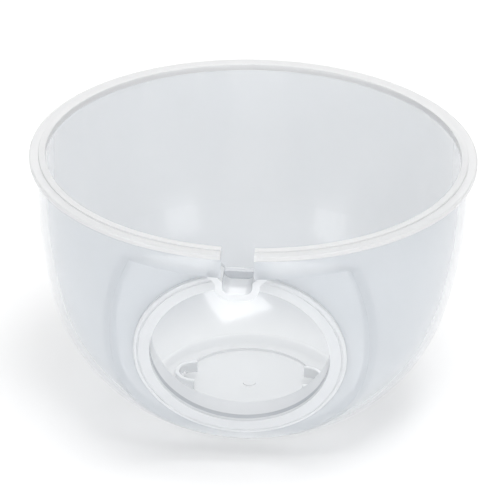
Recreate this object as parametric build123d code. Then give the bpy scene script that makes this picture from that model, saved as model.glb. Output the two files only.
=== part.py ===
"""Mixing bowl with a round port in its flat front and a brush rest at the rim.

Millimetres. The bowl stands on Z = 0 with its axis on Z, and the flat front faces -Y.
The moulding is built as regions that meet face to face, one STEP file for each.
"""
from build123d import *
from math import asin, atan2, cos, radians, sin
import os

# ---- overall ----
HEIGHT = 80.0             # table to the top of the rim
WALL_RADIUS = 62.5        # outside of the round wall, just under the rim
WALL = 2.2                # thickness of the round wall
FLOOR = 2.9               # thickness of the floor

# ---- outline of the round wall ----
BAND_DEPTH = 12.5         # upright stretch, from the top of the rim down
HAUNCH_HEIGHT = 34.4      # where the gentle upper arc becomes the tighter lower one
HAUNCH_INSET = 4.3        # how far the wall has come in at that height
FOOT_RADIUS = 27.2        # flat that the bowl stands on

# ---- rim ----
FLANGE_OVERHANG = 2.5     # rim past the wall
FLANGE_THICKNESS = 1.6
LAND_WIDTH = 2.1          # raised inner band on top of the rim
LAND_RISE = 0.35
RIM_ROUND = 0.4           # rounding of the rim's two outer edges
LAND_ROUND = 0.2          # rounding of the band's two edges

# ---- notch in the rim, ledges beside it ----
NOTCH_WIDTH = 9.3
LEDGE_DEPTH = 7.5         # top of the ledges, from the top of the rim down
LEDGE_THICKNESS = 1.2

# ---- rest channel under the notch ----
CHANNEL_WIDTH = 8.4       # inside, between upright sides
CHANNEL_DEPTH = 6.0       # inside, from the top of the ledges down
CHANNEL_ROUND = 2.2       # inner rounding between the bottom and the sides
CHANNEL_FLARE = 2.6       # each side opens out by this much at the top
FLARE_DEPTH = 2.4         # from the top of the ledges down to the upright sides
CHANNEL_WALL = 2.0
PANEL_SILL = 2.1          # the panel's edge in the channel, below the ledges' underside

# ---- flat front panel ----
PANEL_THICKNESS = 1.6
PANEL_SETBACK = 8.1       # from the wall's outside to the panel, at the ledges' underside
PANEL_TILT = 13.5         # degrees, the panel leans out towards its top

# ---- port ----
PORT_RADIUS = 25.7
RING_WIDTH = 4.7
RING_GAP = 3.0            # from the ledges' underside to the ring, along the panel
RING_RISE = 1.1           # the ring stands proud of the panel
RING_ROUND = 0.5
GROOVE_INSET = 1.3        # fine groove, in from the ring's outer edge
GROOVE_RADIUS = 0.3
SLEEVE_LENGTH = 5.2       # from the panel's inner face
SLEEVE_WALL = 1.1
SLEEVE_ROUND = 0.4        # outer edge of the free end; the bore's edge stays sharp

# ---- floor details ----
RECESS_RADIUS = 19.8      # shallow recess in the middle of the floor
RECESS_DEPTH = 0.9
GATE_RADIUS = 1.9         # mark left by the moulding gate
GATE_RISE = 0.4
LUG_DISTANCE = 16.2       # from the bowl's axis to the middle of a lug's arc
LUG_RADIUS = 6.2          # outside of the arc
LUG_WALL = 1.2
LUG_HEIGHT = 2.6          # above the floor
LUG_ROUND = 0.3

# ---- sizes that follow from the ones above ----
INNER_RADIUS = WALL_RADIUS - WALL
RIM_RADIUS = WALL_RADIUS + FLANGE_OVERHANG
FLANGE_TOP = HEIGHT - LAND_RISE
FLANGE_UNDERSIDE = FLANGE_TOP - FLANGE_THICKNESS
LEDGE_TOP = HEIGHT - LEDGE_DEPTH
LEDGE_UNDERSIDE = LEDGE_TOP - LEDGE_THICKNESS
SILL_HEIGHT = LEDGE_UNDERSIDE - PANEL_SILL
RECESS_HEIGHT = FLOOR - RECESS_DEPTH
RING_RADIUS = PORT_RADIUS + RING_WIDTH
REACH = 3 * (RIM_RADIUS + HEIGHT)        # longer than the bowl, for cutting blocks

# Axes of the panel's outer face: x across, y up along the panel, z out of the bowl.
PANEL = Plane(
    origin=(0, PANEL_SETBACK - WALL_RADIUS, LEDGE_UNDERSIDE),
    x_dir=(1, 0, 0),
    z_dir=(0, -cos(radians(PANEL_TILT)), -sin(radians(PANEL_TILT))),
)
PORT = PANEL * Pos(0, -RING_GAP - RING_RADIUS, 0)


def wall_arcs():
    """Centre and radius of the upper and of the lower arc, tangent at the haunch."""
    band = Vector(WALL_RADIUS, HEIGHT - BAND_DEPTH)
    haunch = Vector(WALL_RADIUS - HAUNCH_INSET, HAUNCH_HEIGHT)
    foot = Vector(FOOT_RADIUS, 0)
    drop = band.Y - haunch.Y
    upper_radius = (HAUNCH_INSET**2 + drop**2) / (2 * HAUNCH_INSET)
    upper_centre = Vector(band.X - upper_radius, band.Y)
    inward = (upper_centre - haunch).normalized()
    chord = foot - haunch
    lower_radius = chord.dot(chord) / (2 * chord.dot(inward))
    lower_centre = haunch + inward * lower_radius
    return upper_centre, upper_radius, lower_centre, lower_radius


def on_arc(centre, radius, angle):
    """Point of an arc, with the angle in radians above the horizontal."""
    return centre + Vector(cos(angle), sin(angle)) * radius


def round_solid(inset, bottom, top):
    """Solid inside the wall's outline moved in by inset, between two heights."""
    upper_centre, upper_radius, lower_centre, lower_radius = wall_arcs()
    haunch = Vector(WALL_RADIUS - HAUNCH_INSET, HAUNCH_HEIGHT) - upper_centre
    haunch_angle = atan2(haunch.Y, haunch.X)
    upper_radius -= inset
    lower_radius -= inset
    foot_angle = asin((bottom - lower_centre.Y) / lower_radius)
    foot = on_arc(lower_centre, lower_radius, foot_angle)
    waist = on_arc(upper_centre, upper_radius, haunch_angle)
    shoulder = on_arc(upper_centre, upper_radius, 0)
    lower_middle = on_arc(lower_centre, lower_radius, (haunch_angle + foot_angle) / 2)
    upper_middle = on_arc(upper_centre, upper_radius, haunch_angle / 2)
    outline = Wire([
        Edge.make_line((0, bottom), foot),
        Edge.make_three_point_arc(foot, lower_middle, waist),
        Edge.make_three_point_arc(waist, upper_middle, shoulder),
        Edge.make_line(shoulder, (shoulder.X, top)),
        Edge.make_line((shoulder.X, top), (0, top)),
        Edge.make_line((0, top), (0, bottom)),
    ])
    return revolve(Plane.XZ * Face(outline), Axis.Z, 360)


def outside():
    """The bowl as if it were solid, up to the flange."""
    return round_solid(0, 0, FLANGE_UNDERSIDE)


def cavity():
    """The space inside the round wall, with no panel or ledges."""
    return round_solid(WALL, FLOOR, HEIGHT)


def half_space(depth):
    """Everything on the outer side of the panel's face moved into the bowl by depth."""
    block = Box(REACH, REACH, REACH, align=(Align.CENTER, Align.CENTER, Align.MIN))
    return PANEL * Pos(0, 0, -depth) * block


def layer(bottom, top):
    """Everything between two heights."""
    block = Box(REACH, REACH, top - bottom, align=(Align.CENTER, Align.CENTER, Align.MIN))
    return Pos(0, 0, bottom) * block


def slot(width, bottom):
    """Upright slot at the front, from the axis outwards and open at the top."""
    block = Box(width, REACH, REACH, align=(Align.CENTER, Align.MAX, Align.MIN))
    return Pos(0, 0, bottom) * block


def port_bar(radius, start, length):
    """Round bar on the port's axis; start is counted outwards from the panel's face."""
    bar = Cylinder(radius, length, align=(Align.CENTER, Align.CENTER, Align.MIN))
    return PORT * Pos(0, 0, start) * bar


def channel_section():
    """Section of the space in the rest channel: rounded at the bottom, flared at the top."""
    half = CHANNEL_WIDTH / 2
    bottom = LEDGE_TOP - CHANNEL_DEPTH
    mouth = half + CHANNEL_FLARE
    outline = Polygon(
        (-half, bottom), (half, bottom),
        (half, LEDGE_TOP - FLARE_DEPTH), (mouth, LEDGE_TOP),
        (-mouth, LEDGE_TOP), (-half, LEDGE_TOP - FLARE_DEPTH),
        align=None,
    )
    return fillet(outline.vertices().group_by(Axis.Y)[0], CHANNEL_ROUND)


def run_out(section):
    """Section drawn in the XZ plane, run out past the front of the bowl."""
    return extrude(Plane.XZ * section, REACH)


def channel_space():
    return run_out(channel_section())


def channel_block():
    """The channel with its walls, before the space inside is taken away."""
    return run_out(offset(channel_section(), amount=CHANNEL_WALL, kind=Kind.ARC))


def ledge_layer():
    """Plate between the panel's inner face and the round wall, notch and channel included."""
    return layer(LEDGE_UNDERSIDE, LEDGE_TOP) & cavity() & half_space(PANEL_THICKNESS)


def make_base_floor():
    plate = Cylinder(FOOT_RADIUS, FLOOR, align=(Align.CENTER, Align.CENTER, Align.MIN))
    recess = Pos(0, 0, RECESS_HEIGHT) * Cylinder(
        RECESS_RADIUS, FLOOR, align=(Align.CENTER, Align.CENTER, Align.MIN)
    )
    gate = Pos(0, 0, RECESS_HEIGHT) * Cylinder(
        GATE_RADIUS, GATE_RISE, align=(Align.CENTER, Align.CENTER, Align.MIN)
    )
    return plate - recess + gate


def make_side_wall():
    shell = outside() - cavity()
    foot = Cylinder(FOOT_RADIUS, FLOOR, align=(Align.CENTER, Align.CENTER, Align.MIN))
    front = half_space(PANEL_THICKNESS) & layer(0, LEDGE_UNDERSIDE)
    return shell - foot - front - slot(NOTCH_WIDTH, LEDGE_UNDERSIDE)


def make_front_panel():
    slab = outside() & half_space(PANEL_THICKNESS) & layer(0, LEDGE_UNDERSIDE)
    sill = channel_space() & layer(SILL_HEIGHT, LEDGE_UNDERSIDE)
    return slab - half_space(0) - sill - port_bar(PORT_RADIUS, -REACH / 2, REACH)


def make_rim_flange():
    flange = Cylinder(RIM_RADIUS, FLANGE_THICKNESS, align=(Align.CENTER, Align.CENTER, Align.MIN))
    flange = fillet(flange.edges().filter_by(GeomType.CIRCLE), RIM_ROUND)
    land = Pos(0, 0, FLANGE_THICKNESS) * Cylinder(
        INNER_RADIUS + LAND_WIDTH, LAND_RISE, align=(Align.CENTER, Align.CENTER, Align.MIN)
    )
    bore = Cylinder(INNER_RADIUS, HEIGHT)
    ring = flange + land - bore
    ring = fillet(ring.edges().group_by(Axis.Z)[-1], LAND_ROUND)
    return Pos(0, 0, FLANGE_UNDERSIDE) * ring - slot(NOTCH_WIDTH, LEDGE_UNDERSIDE)


def make_port_ring():
    ring = Cylinder(RING_RADIUS, RING_RISE, align=(Align.CENTER, Align.CENTER, Align.MIN))
    ring = fillet(ring.edges().group_by(Axis.Z)[-1], RING_ROUND)
    groove = Pos(0, 0, RING_RISE) * Torus(RING_RADIUS - GROOVE_INSET, GROOVE_RADIUS)
    return PORT * (ring - groove) - port_bar(PORT_RADIUS, -REACH / 2, REACH) - channel_block()


def make_port_sleeve():
    start = -PANEL_THICKNESS - SLEEVE_LENGTH
    tube = Cylinder(
        PORT_RADIUS + SLEEVE_WALL, SLEEVE_LENGTH, align=(Align.CENTER, Align.CENTER, Align.MIN)
    )
    tube = fillet(tube.edges().group_by(Axis.Z)[0], SLEEVE_ROUND)
    return PORT * Pos(0, 0, start) * tube - port_bar(PORT_RADIUS, start, SLEEVE_LENGTH)


def make_rest_channel():
    """Trough under the notch; its upper part fills the gap between the two ledges."""
    trough = channel_block() - channel_space()
    below = trough & outside() & half_space(0) & layer(0, LEDGE_UNDERSIDE)
    return below + (trough & ledge_layer())


def make_brush_ledges():
    """The two ledges, as a left and a right solid."""
    return ledge_layer() - channel_block()


def make_floor_lugs():
    """Two upright half rings, left and right, whose open sides face each other."""
    lug = Pos(LUG_DISTANCE, 0, 0) * (
        Cylinder(LUG_RADIUS, REACH) - Cylinder(LUG_RADIUS - LUG_WALL, REACH)
    )
    outer_side = Pos(LUG_DISTANCE, 0, 0) * Box(
        REACH, REACH, REACH, align=(Align.MIN, Align.CENTER, Align.CENTER)
    )
    lug = lug & outer_side & layer(RECESS_HEIGHT, FLOOR + LUG_HEIGHT)
    lug = fillet(lug.edges().group_by(Axis.Z)[-1], LUG_ROUND)
    lug -= make_base_floor()
    return lug + mirror(lug, Plane.YZ)


PARTS = {
    "base_floor": make_base_floor,
    "side_wall": make_side_wall,
    "front_panel": make_front_panel,
    "rim_flange": make_rim_flange,
    "port_ring": make_port_ring,
    "port_sleeve": make_port_sleeve,
    "rest_channel": make_rest_channel,
    "brush_ledges": make_brush_ledges,
    "floor_lugs": make_floor_lugs,
}

os.makedirs("parts", exist_ok=True)
for name, make in PARTS.items():
    export_step(make(), f"parts/{name}.step")
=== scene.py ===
"""Looks of the mixing bowl: translucent polypropylene on a pale table in soft studio light."""
import math

import bpy
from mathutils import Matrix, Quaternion, Vector


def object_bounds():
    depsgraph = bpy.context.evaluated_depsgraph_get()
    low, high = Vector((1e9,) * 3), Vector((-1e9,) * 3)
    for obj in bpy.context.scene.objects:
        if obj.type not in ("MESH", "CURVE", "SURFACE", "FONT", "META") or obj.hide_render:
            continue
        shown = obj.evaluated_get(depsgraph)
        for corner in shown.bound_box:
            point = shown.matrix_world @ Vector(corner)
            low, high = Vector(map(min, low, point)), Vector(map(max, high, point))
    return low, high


# ---- camera, aimed from the middle of the rim ----
VIEW_DISTANCE = 0.910
VIEW_ELEVATION = math.radians(26.10)
VIEW_AZIMUTH = math.radians(3.5)       # towards +X from the front
VIEW_YAW = math.radians(0.031)         # to the left
VIEW_PITCH = math.radians(-1.814)      # further down than the rim
VIEW_ROLL = math.radians(1.03)
LENS_MM = 225.7
SENSOR_MM = 36.0
CLIP_START = 0.05
CLIP_END = 20

# ---- studio ----
SKY_TOP = 0.70                         # strength of the sky straight up
SKY_LEVEL = 0.60                       # and at the horizon
SOFTBOX_DISTANCE = 1.5
SOFTBOXES = {                          # azimuth from the front and elevation in degrees,
    "left": (-45, 10, 0.55, 7.0),      # then the side in metres and the power in watts
    "right": (47, 10, 0.55, 7.0),
    "overhead": (35, 76, 0.70, 11.0),
    "behind": (-176, 30, 0.60, 2.0),
}
TABLE_SIZE = 8.0
TABLE_GAP = 0.0003                     # keeps the underside off the table's plane
TABLE_TINT = (0.94, 0.94, 0.94, 1)
TABLE_ROUGHNESS = 0.7
LAYERS_SEEN_THROUGH = 40               # surfaces a ray may pass before it goes dark

# ---- plastic ----
CLOUD_SCALE = 60.0                     # per metre, soft clouds in the moulding
CLOUD_DETAIL = 1
GRAIN_SCALE = 2600.0                   # per metre, the satin grain of the tool
GRAIN_HEIGHT = 0.000004
GRAIN_STRENGTH = 0.3
PLASTIC_IOR = 1.49
GLOSS_ROUGHNESS = 0.08
ROUGHNESS_LOW = 0.27                   # roughness follows the clouds between these two
ROUGHNESS_HIGH = 0.31
FOOT_PAINTED_LIGHT_TINT = (0.89, 0.905, 0.92, 1)     # painted light: whiter at the foot, standing in for the light through the bottom edge that the table's shade takes away
FOOT_PAINTED_LIGHT_FULL = 0.003                      # full strength up to this height
FOOT_PAINTED_LIGHT_END = 0.011                       # and gone at this one
# One plastic in lit and shaded copies: the ledge and ring tints are lightened as painted
# light, the rim tint darkened as painted shade.
LIT_AND_SHADED_PLASTICS = {                           # opacity of one surface, weight of its clear gloss,
    "wall": (0.43, 1.0,                # and the two ends of its cloudy tint
             (0.575, 0.608, 0.645, 1), (0.598, 0.627, 0.660, 1)),
    # painted highlight: the ledge tint is lightened so the ledges and lugs read as lit
    "ledge": (0.72, 1.0,
              (0.83, 0.845, 0.86, 1), (0.86, 0.87, 0.88, 1)),
    # painted shade: the rim tint is darker to take down the light falling on its top
    "rim": (0.70, 0.2,
            (0.650, 0.655, 0.665, 1), (0.680, 0.683, 0.688, 1)),
    # painted light: the ring tint is lightened so the port sleeve, ring and rest channel look
    # lit through
    "ring": (0.64, 1.0,
             (0.730, 0.750, 0.775, 1), (0.760, 0.775, 0.795, 1)),
}
# Ledges and lugs take the ledge copy's painted highlight, sleeve, ring and rest channel the
# ring copy's painted light, the rim flange the rim copy's painted shade.
NODE_PLASTIC = {
    "side_wall": "wall",
    "front_panel": "wall",
    "port_sleeve": "ring",
    "brush_ledges": "ledge",
    "rest_channel": "ring",
    "rim_flange": "rim",
    "port_ring": "ring",
    "base_floor": "wall",
    "floor_lugs": "ledge",
}


def direction(azimuth, elevation):
    """Unit vector from the bowl, with the azimuth counted from the front towards +X."""
    level = math.cos(elevation)
    return Vector((
        level * math.sin(azimuth),
        -level * math.cos(azimuth),
        math.sin(elevation),
    ))


def make_camera(rim_middle):
    data = bpy.data.cameras.new("view")
    data.lens = LENS_MM
    data.sensor_width = SENSOR_MM
    data.clip_start = CLIP_START
    data.clip_end = CLIP_END
    camera = bpy.data.objects.new("view", data)
    bpy.context.scene.collection.objects.link(camera)
    away = direction(VIEW_AZIMUTH, VIEW_ELEVATION)
    turn = (-away).to_track_quat("-Z", "Y")
    turn = turn @ Quaternion((0, 1, 0), VIEW_YAW)
    turn = turn @ Quaternion((1, 0, 0), VIEW_PITCH)
    turn = turn @ Quaternion((0, 0, 1), VIEW_ROLL)
    camera.location = rim_middle + away * VIEW_DISTANCE
    camera.rotation_mode = "QUATERNION"
    camera.rotation_quaternion = turn
    bpy.context.scene.camera = camera


def make_world():
    """White studio, a little brighter overhead than at the horizon."""
    world = bpy.data.worlds.new("studio")
    world.use_nodes = True
    nodes, links = world.node_tree.nodes, world.node_tree.links
    place = nodes.new("ShaderNodeTexCoord")
    split = nodes.new("ShaderNodeSeparateXYZ")
    height = nodes.new("ShaderNodeMapRange")
    height.inputs["To Min"].default_value = SKY_LEVEL
    height.inputs["To Max"].default_value = SKY_TOP
    links.new(place.outputs["Generated"], split.inputs["Vector"])
    links.new(split.outputs["Z"], height.inputs["Value"])
    links.new(height.outputs["Result"], nodes["Background"].inputs["Strength"])
    nodes["Background"].inputs["Color"].default_value = (1, 1, 1, 1)
    bpy.context.scene.world = world


def make_softbox(name, azimuth, elevation, side, power, middle):
    data = bpy.data.lights.new(name, "AREA")
    data.shape = "SQUARE"
    data.size = side
    data.energy = power
    light = bpy.data.objects.new(name, data)
    bpy.context.scene.collection.objects.link(light)
    away = direction(math.radians(azimuth), math.radians(elevation))
    light.location = middle + away * SOFTBOX_DISTANCE
    light.rotation_mode = "QUATERNION"
    light.rotation_quaternion = away.to_track_quat("Z", "Y")


def make_table():
    bpy.ops.mesh.primitive_plane_add(size=TABLE_SIZE, location=(0, 0, -TABLE_GAP))
    table = bpy.context.object
    table.name = "table"
    material = bpy.data.materials.new("table")
    material.use_nodes = True
    shader = material.node_tree.nodes["Principled BSDF"]
    shader.inputs["Base Color"].default_value = TABLE_TINT
    shader.inputs["Roughness"].default_value = TABLE_ROUGHNESS
    table.data.materials.append(material)


def make_plastic(name, opacity, gloss, dark, light):
    """Hazy moulded polypropylene: cloudy tint, satin grain, and a smooth clear gloss."""
    material = bpy.data.materials.new("polypropylene_" + name)
    material.use_nodes = True
    nodes, links = material.node_tree.nodes, material.node_tree.links
    shader = nodes["Principled BSDF"]
    shader.inputs["Alpha"].default_value = opacity
    shader.inputs["IOR"].default_value = PLASTIC_IOR
    shader.inputs["Coat Weight"].default_value = gloss
    shader.inputs["Coat Roughness"].default_value = GLOSS_ROUGHNESS

    place = nodes.new("ShaderNodeTexCoord")
    clouds = nodes.new("ShaderNodeTexNoise")
    clouds.inputs["Scale"].default_value = CLOUD_SCALE
    clouds.inputs["Detail"].default_value = CLOUD_DETAIL
    links.new(place.outputs["Object"], clouds.inputs["Vector"])

    tint = nodes.new("ShaderNodeMix")
    tint.data_type = "RGBA"
    tint.inputs["A"].default_value = dark
    tint.inputs["B"].default_value = light
    links.new(clouds.outputs["Fac"], tint.inputs["Factor"])

    # Painted light: the band next to the table is mixed towards the whiter foot tint.
    split = nodes.new("ShaderNodeSeparateXYZ")
    links.new(place.outputs["Object"], split.inputs["Vector"])
    foot_light_fade = nodes.new("ShaderNodeMapRange")
    foot_light_fade.inputs["From Min"].default_value = FOOT_PAINTED_LIGHT_FULL
    foot_light_fade.inputs["From Max"].default_value = FOOT_PAINTED_LIGHT_END
    links.new(split.outputs["Z"], foot_light_fade.inputs["Value"])
    foot_painted_light = nodes.new("ShaderNodeMix")
    foot_painted_light.data_type = "RGBA"
    foot_painted_light.inputs["A"].default_value = FOOT_PAINTED_LIGHT_TINT
    links.new(foot_light_fade.outputs["Result"], foot_painted_light.inputs["Factor"])
    links.new(tint.outputs["Result"], foot_painted_light.inputs["B"])
    links.new(foot_painted_light.outputs["Result"], shader.inputs["Base Color"])

    rough = nodes.new("ShaderNodeMapRange")
    rough.inputs["To Min"].default_value = ROUGHNESS_LOW
    rough.inputs["To Max"].default_value = ROUGHNESS_HIGH
    links.new(clouds.outputs["Fac"], rough.inputs["Value"])
    links.new(rough.outputs["Result"], shader.inputs["Roughness"])

    grain = nodes.new("ShaderNodeTexNoise")
    grain.inputs["Scale"].default_value = GRAIN_SCALE
    links.new(place.outputs["Object"], grain.inputs["Vector"])
    bump = nodes.new("ShaderNodeBump")
    bump.inputs["Strength"].default_value = GRAIN_STRENGTH
    bump.inputs["Distance"].default_value = GRAIN_HEIGHT
    links.new(grain.outputs["Fac"], bump.inputs["Height"])
    links.new(bump.outputs["Normal"], shader.inputs["Normal"])
    return material


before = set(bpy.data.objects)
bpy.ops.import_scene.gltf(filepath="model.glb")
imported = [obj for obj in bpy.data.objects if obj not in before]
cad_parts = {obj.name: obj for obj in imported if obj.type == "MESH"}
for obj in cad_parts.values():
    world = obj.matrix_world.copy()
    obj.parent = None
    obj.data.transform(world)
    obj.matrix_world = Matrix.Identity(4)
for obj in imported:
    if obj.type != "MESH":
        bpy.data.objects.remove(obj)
cad_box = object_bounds()
rim_height = cad_box[1][2]
middle = Vector((0, 0, rim_height / 2))
make_camera(Vector((0, 0, rim_height)))
make_world()
for name, (azimuth, elevation, side, power) in SOFTBOXES.items():
    make_softbox(name, azimuth, elevation, side, power, middle)
make_table()
lit_and_shaded_plastics = {name: make_plastic(name, *look) for name, look in LIT_AND_SHADED_PLASTICS.items()}
for name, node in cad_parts.items():
    node.data.materials.clear()
    node.data.materials.append(lit_and_shaded_plastics[NODE_PLASTIC[name]])
bpy.context.scene.cycles.transparent_max_bounces = LAYERS_SEEN_THROUGH
bpy.context.scene.view_settings.view_transform = "Standard"
